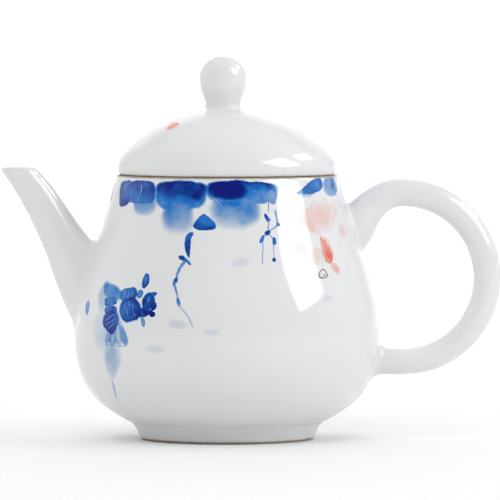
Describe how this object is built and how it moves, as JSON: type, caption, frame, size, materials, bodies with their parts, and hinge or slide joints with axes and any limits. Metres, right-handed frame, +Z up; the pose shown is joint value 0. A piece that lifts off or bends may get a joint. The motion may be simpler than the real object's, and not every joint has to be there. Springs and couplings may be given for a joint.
{
  "type": "teapot",
  "caption": "Small white porcelain teapot with a round belly, ring handle, straight spout and a lift-off domed lid with an egg-shaped knob.",
  "frame": {"origin": "centre of the foot ring's base, on the surface it stands on", "axes": "+Z up along the pot's axis of turning, +X towards the handle, -X towards the spout, +Y away from the painted side"},
  "size_m": [0.1506, 0.0916, 0.1151],
  "materials": {
    "glazed_porcelain": "clear gloss glaze over underglaze painting",
    "foot_porcelain": "glazed wall with a bare biscuit base"
  },
  "bodies": {
    "pot": {"lower_body": "glazed_porcelain", "upper_body": "glazed_porcelain", "foot_ring": "foot_porcelain", "spout": "glazed_porcelain", "strainer": "glazed_porcelain", "handle": "glazed_porcelain"},
    "lid": {"lid_dome": "glazed_porcelain", "lid_flange": "glazed_porcelain", "lid_knob": "glazed_porcelain"}
  },
  "joints": [
    {"name": "lid_lift", "type": "slide", "parent": "pot", "child": "lid", "axis": [0, 0, 1], "range_m": [0, 0.06]}
  ]
}
